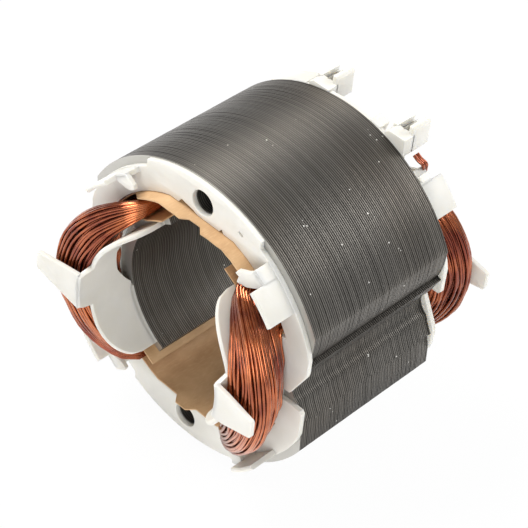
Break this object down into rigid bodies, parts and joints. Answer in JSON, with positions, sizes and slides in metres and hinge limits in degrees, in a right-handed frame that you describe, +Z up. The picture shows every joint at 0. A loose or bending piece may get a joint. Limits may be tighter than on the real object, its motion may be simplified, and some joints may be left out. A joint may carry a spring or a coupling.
{
  "type": "stator lamination stack",
  "caption": "Wound stator: a stack of steel laminations with nylon end insulators, slot paper, copper coils and rear terminals.",
  "frame": {"origin": "on the bore's axis, in the plane of the stack's front face", "axes": "+Y back along the bore, +Z up towards the terminals, +X to the right pole"},
  "size_m": [0.0678, 0.0704, 0.0756],
  "materials": {
    "steel": "satin",
    "nylon": "satin",
    "slot_paper": "matt",
    "enamelled_copper": "gloss",
    "tinned_contact": "satin",
    "lead_copper": "gloss"
  },
  "bodies": {
    "root": {"lamination_stack": "steel", "slot_liner_top": "slot_paper", "slot_liner_bottom": "slot_paper", "front_insulator": "nylon", "rear_insulator": "nylon", "coil_right": "enamelled_copper", "coil_left": "enamelled_copper", "terminal_clip_upper_right": "tinned_contact", "terminal_clip_upper_left": "tinned_contact", "terminal_clip_lower_left": "tinned_contact", "terminal_clip_lower_right": "tinned_contact", "coil_lead_upper_right_a": "lead_copper", "coil_lead_upper_right_b": "lead_copper", "coil_lead_upper_left_a": "lead_copper", "coil_lead_upper_left_b": "lead_copper", "coil_lead_lower_left_a": "lead_copper", "coil_lead_lower_left_b": "lead_copper", "coil_lead_lower_right_a": "lead_copper", "coil_lead_lower_right_b": "lead_copper"}
  },
  "joints": []
}
